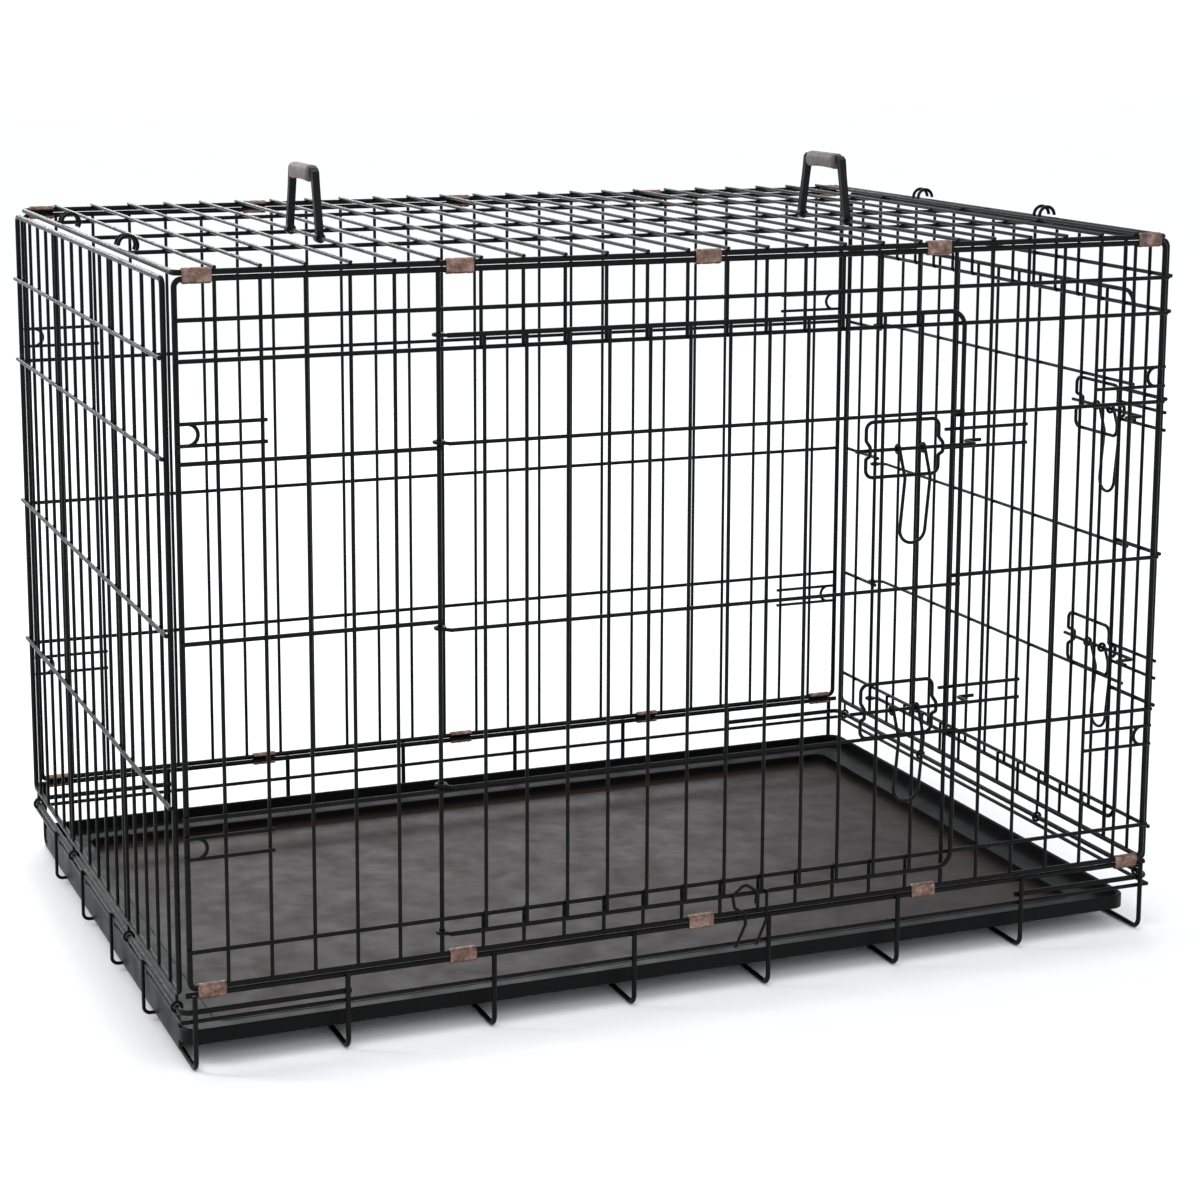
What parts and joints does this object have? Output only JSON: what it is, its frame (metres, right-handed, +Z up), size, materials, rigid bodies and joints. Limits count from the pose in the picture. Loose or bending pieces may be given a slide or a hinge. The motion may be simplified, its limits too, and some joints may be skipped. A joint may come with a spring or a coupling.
{
  "type": "wire dog crate",
  "caption": "Folding wire dog crate with hinged front and end doors on slide latches, fold-down panels, slide-out plastic tray and two carrying handles.",
  "frame": {"origin": "on the floor, under the middle of the whole crate's bounding box", "axes": "+X along the length towards the end with the door and the tray mouth, -Y out through the front door, +Z up"},
  "size_m": [0.96, 0.6618, 0.7227],
  "materials": {
    "black_coated_wire": "satin black electro-coat over steel wire",
    "zinc_clip": "dull plated sheet steel, faintly coppery",
    "tray_plastic": "matt brownish black moulded plastic",
    "handle_plastic": "matt black moulded plastic"
  },
  "bodies": {
    "base": {"base_side_rails": "black_coated_wire", "base_cross_legs": "black_coated_wire", "base_end_wires": "black_coated_wire", "base_tray_runners": "black_coated_wire", "clips_bottom_front": "zinc_clip", "clips_bottom_back": "zinc_clip"},
    "tray": {"tray": "tray_plastic"},
    "front_panel": {"front_panel_frame": "black_coated_wire", "front_panel_uprights": "black_coated_wire", "front_panel_long_wires": "black_coated_wire", "front_panel_lock_slots": "black_coated_wire", "front_panel_bolt_keepers": "black_coated_wire"},
    "front_door": {"front_door_frame": "black_coated_wire", "front_door_grid": "black_coated_wire", "front_door_hinge_loops": "black_coated_wire", "front_door_latch_guides": "black_coated_wire", "front_door_hook": "black_coated_wire"},
    "front_bolt_upper": {"front_bolt_upper": "black_coated_wire"},
    "front_bolt_lower": {"front_bolt_lower": "black_coated_wire"},
    "front_pull_upper": {"front_pull_upper": "black_coated_wire"},
    "front_pull_lower": {"front_pull_lower": "black_coated_wire"},
    "back_panel": {"back_panel_frame": "black_coated_wire", "back_panel_uprights": "black_coated_wire", "back_panel_long_wires": "black_coated_wire", "back_panel_lock_slots": "black_coated_wire"},
    "top_panel": {"top_panel_frame": "black_coated_wire", "top_panel_cross_wires": "black_coated_wire", "top_panel_long_wires": "black_coated_wire", "top_panel_end_loops": "black_coated_wire", "clips_top_front": "zinc_clip", "clips_top_back": "zinc_clip"},
    "left_end": {"left_end_frame": "black_coated_wire", "left_end_uprights": "black_coated_wire", "left_end_cross_wires": "black_coated_wire", "left_end_hinge_loops": "black_coated_wire"},
    "right_end": {"right_end_frame": "black_coated_wire", "right_end_uprights": "black_coated_wire", "right_end_cross_wires": "black_coated_wire", "right_end_hinge_loops": "black_coated_wire", "right_end_bolt_keepers": "black_coated_wire"},
    "right_door": {"right_door_frame": "black_coated_wire", "right_door_grid": "black_coated_wire", "right_door_hinge_loops": "black_coated_wire", "right_door_latch_guides": "black_coated_wire"},
    "right_bolt_upper": {"right_bolt_upper": "black_coated_wire"},
    "right_bolt_lower": {"right_bolt_lower": "black_coated_wire"},
    "right_pull_upper": {"right_pull_upper": "black_coated_wire"},
    "right_pull_lower": {"right_pull_lower": "black_coated_wire"},
    "handle_left": {"handle_left_strap": "handle_plastic", "handle_left_grip": "handle_plastic"},
    "handle_right": {"handle_right_strap": "handle_plastic", "handle_right_grip": "handle_plastic"}
  },
  "joints": [
    {"name": "front_fold", "type": "hinge", "parent": "base", "child": "front_panel", "pos_m": [-0.00973, -0.30567, 0.071], "axis": [-1, 0, 0], "range_deg": [0, 80]},
    {"name": "back_fold", "type": "hinge", "parent": "base", "child": "back_panel", "pos_m": [-0.00973, 0.32433, 0.071], "axis": [-1, 0, 0], "range_deg": [0, 80]},
    {"name": "top_fold", "type": "hinge", "parent": "front_panel", "child": "top_panel", "pos_m": [-0.00973, -0.30567, 0.6518], "axis": [1, 0, 0], "range_deg": [0, 80]},
    {"name": "left_end_fold", "type": "hinge", "parent": "base", "child": "left_end", "pos_m": [-0.47423, 0.00933, 0.051], "axis": [0, 1, 0], "range_deg": [0, 90]},
    {"name": "right_end_fold", "type": "hinge", "parent": "base", "child": "right_end", "pos_m": [0.45477, 0.00933, 0.051], "axis": [0, -1, 0], "range_deg": [0, 88.8]},
    {"name": "tray_slide", "type": "slide", "parent": "base", "child": "tray", "axis": [-1, 0, 0], "range_m": [-0.6, 0]},
    {"name": "front_door_swing", "type": "hinge", "parent": "front_panel", "child": "front_door", "pos_m": [-0.24995, -0.30637, 0.35], "axis": [0, 0, 1], "range_deg": [-100, 0]},
    {"name": "right_door_swing", "type": "hinge", "parent": "right_end", "child": "right_door", "pos_m": [0.45547, 0.2489, 0.35], "axis": [0, 0, -1], "range_deg": [-100, 0]},
    {"name": "front_bolt_upper_slide", "type": "slide", "parent": "front_door", "child": "front_bolt_upper", "axis": [1, 0, 0], "range_m": [-0.005, 0.012]},
    {"name": "front_pull_upper_swing", "type": "hinge", "parent": "front_bolt_upper", "child": "front_pull_upper", "pos_m": [0.18069, -0.32097, 0.481], "axis": [1, 0, 0], "range_deg": [-120, 0]},
    {"name": "front_bolt_lower_slide", "type": "slide", "parent": "front_door", "child": "front_bolt_lower", "axis": [1, 0, 0], "range_m": [-0.005, 0.012]},
    {"name": "front_pull_lower_swing", "type": "hinge", "parent": "front_bolt_lower", "child": "front_pull_lower", "pos_m": [0.18069, -0.32097, 0.2455], "axis": [1, 0, 0], "range_deg": [-120, 0]},
    {"name": "right_bolt_upper_slide", "type": "slide", "parent": "right_door", "child": "right_bolt_upper", "axis": [0, -1, 0], "range_m": [-0.005, 0.012]},
    {"name": "right_pull_upper_swing", "type": "hinge", "parent": "right_bolt_upper", "child": "right_pull_upper", "pos_m": [0.47007, -0.18044, 0.481], "axis": [0, 1, 0], "range_deg": [-120, 0]},
    {"name": "right_bolt_lower_slide", "type": "slide", "parent": "right_door", "child": "right_bolt_lower", "axis": [0, -1, 0], "range_m": [-0.005, 0.012]},
    {"name": "right_pull_lower_swing", "type": "hinge", "parent": "right_bolt_lower", "child": "right_pull_lower", "pos_m": [0.47007, -0.18044, 0.2455], "axis": [0, 1, 0], "range_deg": [-120, 0]},
    {"name": "handle_left_swing", "type": "hinge", "parent": "top_panel", "child": "handle_left", "pos_m": [-0.2869, -0.05067, 0.6607], "axis": [0, 1, 0], "range_deg": [-70, 70]},
    {"name": "handle_right_swing", "type": "hinge", "parent": "top_panel", "child": "handle_right", "pos_m": [0.23049, -0.05067, 0.6607], "axis": [0, 1, 0], "range_deg": [-70, 70]}
  ],
  "couplings": [
    {"joint": "back_fold", "follows": "front_fold", "ratio": 1},
    {"joint": "top_fold", "follows": "front_fold", "ratio": 1}
  ]
}
